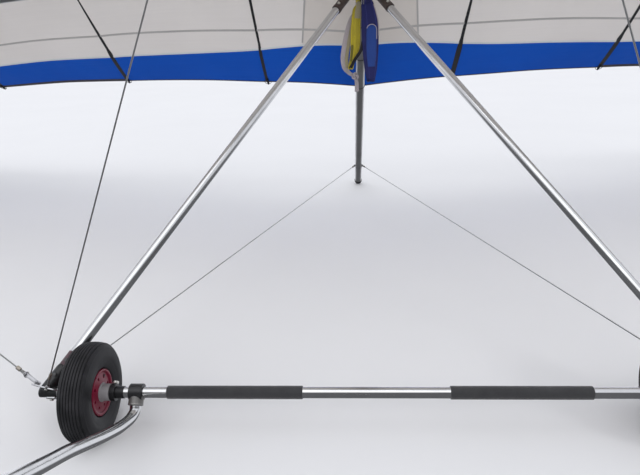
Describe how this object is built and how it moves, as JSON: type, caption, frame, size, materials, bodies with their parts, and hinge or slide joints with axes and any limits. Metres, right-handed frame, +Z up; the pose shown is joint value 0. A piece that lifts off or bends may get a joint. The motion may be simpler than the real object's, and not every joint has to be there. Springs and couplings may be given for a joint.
{
  "type": "tandem training hang glider with a wheeled control frame",
  "caption": "Single-surface flex-wing hang glider on its control frame wheels and keel skid, with kingpost, hang straps and a bent camera boom.",
  "frame": {"origin": "centre of the whole glider's box, on the floor that its two wheels and its tail skid stand on", "axes": "+X across the span, to the right as seen from ahead of the nose; +Y from the nose to the tail; +Z up"},
  "size_m": [10.96, 4.297, 2.234],
  "materials": {
    "tube": "polished, drawn",
    "steel": "satin",
    "stay": "stranded wire",
    "black_plastic": "moulded",
    "grip": "foam",
    "tyre": "ribbed",
    "rim": "moulded",
    "sailcloth": "woven, resin coated",
    "batten_pocket": "woven",
    "yellow_webbing": "woven",
    "blue_webbing": "woven",
    "grey_webbing": "woven"
  },
  "bodies": {
    "airframe": {"keel_tube": "tube", "keel_tail_skid": "black_plastic", "nose_plate": "steel", "crossbar_centre_bracket": "steel", "kingpost_base": "black_plastic", "kingpost": "tube", "kingpost_cap": "steel", "apex_bracket": "steel", "base_bar": "tube", "leading_edge_left": "tube", "crossbar_left": "tube", "crossbar_plate_left": "steel", "downtube_left": "tube", "downtube_socket_left": "black_plastic", "corner_knuckle_left": "black_plastic", "grip_left": "grip", "wheel_collar_left": "black_plastic", "sail_left": "sailcloth", "batten_left_1": "batten_pocket", "batten_left_2": "batten_pocket", "batten_left_3": "batten_pocket", "batten_left_4": "batten_pocket", "batten_left_5": "batten_pocket", "batten_left_6": "batten_pocket", "leading_edge_right": "tube", "crossbar_right": "tube", "crossbar_plate_right": "steel", "downtube_right": "tube", "downtube_socket_right": "black_plastic", "corner_knuckle_right": "black_plastic", "grip_right": "grip", "wheel_collar_right": "black_plastic", "sail_right": "sailcloth", "batten_right_1": "batten_pocket", "batten_right_2": "batten_pocket", "batten_right_3": "batten_pocket", "batten_right_4": "batten_pocket", "batten_right_5": "batten_pocket", "batten_right_6": "batten_pocket", "lower_front_stay_left": "stay", "lower_rear_stay_left": "stay", "lower_side_stay_left": "stay", "upper_side_stay_left": "stay", "lower_front_stay_right": "stay", "lower_rear_stay_right": "stay", "lower_side_stay_right": "stay", "upper_side_stay_right": "stay", "upper_front_stay": "stay", "upper_rear_stay": "stay", "keel_pocket": "sailcloth", "hang_strap_backup": "blue_webbing", "hang_strap_main": "yellow_webbing", "hang_strap_short": "grey_webbing"},
    "wheel_left": {"tyre_left": "tyre", "wheel_rim_left": "rim"},
    "wheel_right": {"tyre_right": "tyre", "wheel_rim_right": "rim"},
    "boom": {"camera_boom": "tube", "camera_boom_clamp": "steel", "camera_plate": "black_plastic"}
  },
  "joints": [
    {"name": "wheel_left_spin", "type": "hinge", "parent": "airframe", "child": "wheel_left", "pos_m": [-0.741, -0.82213, 0.12998], "axis": [1, 0, 0], "continuous": true},
    {"name": "wheel_right_spin", "type": "hinge", "parent": "airframe", "child": "wheel_right", "pos_m": [0.741, -0.82213, 0.12998], "axis": [1, 0, 0], "continuous": true},
    {"name": "camera_boom_swing", "type": "hinge", "parent": "airframe", "child": "boom", "pos_m": [-0.62, -0.82213, 0.12998], "axis": [1, 0, 0], "range_deg": [-30, 30]}
  ]
}
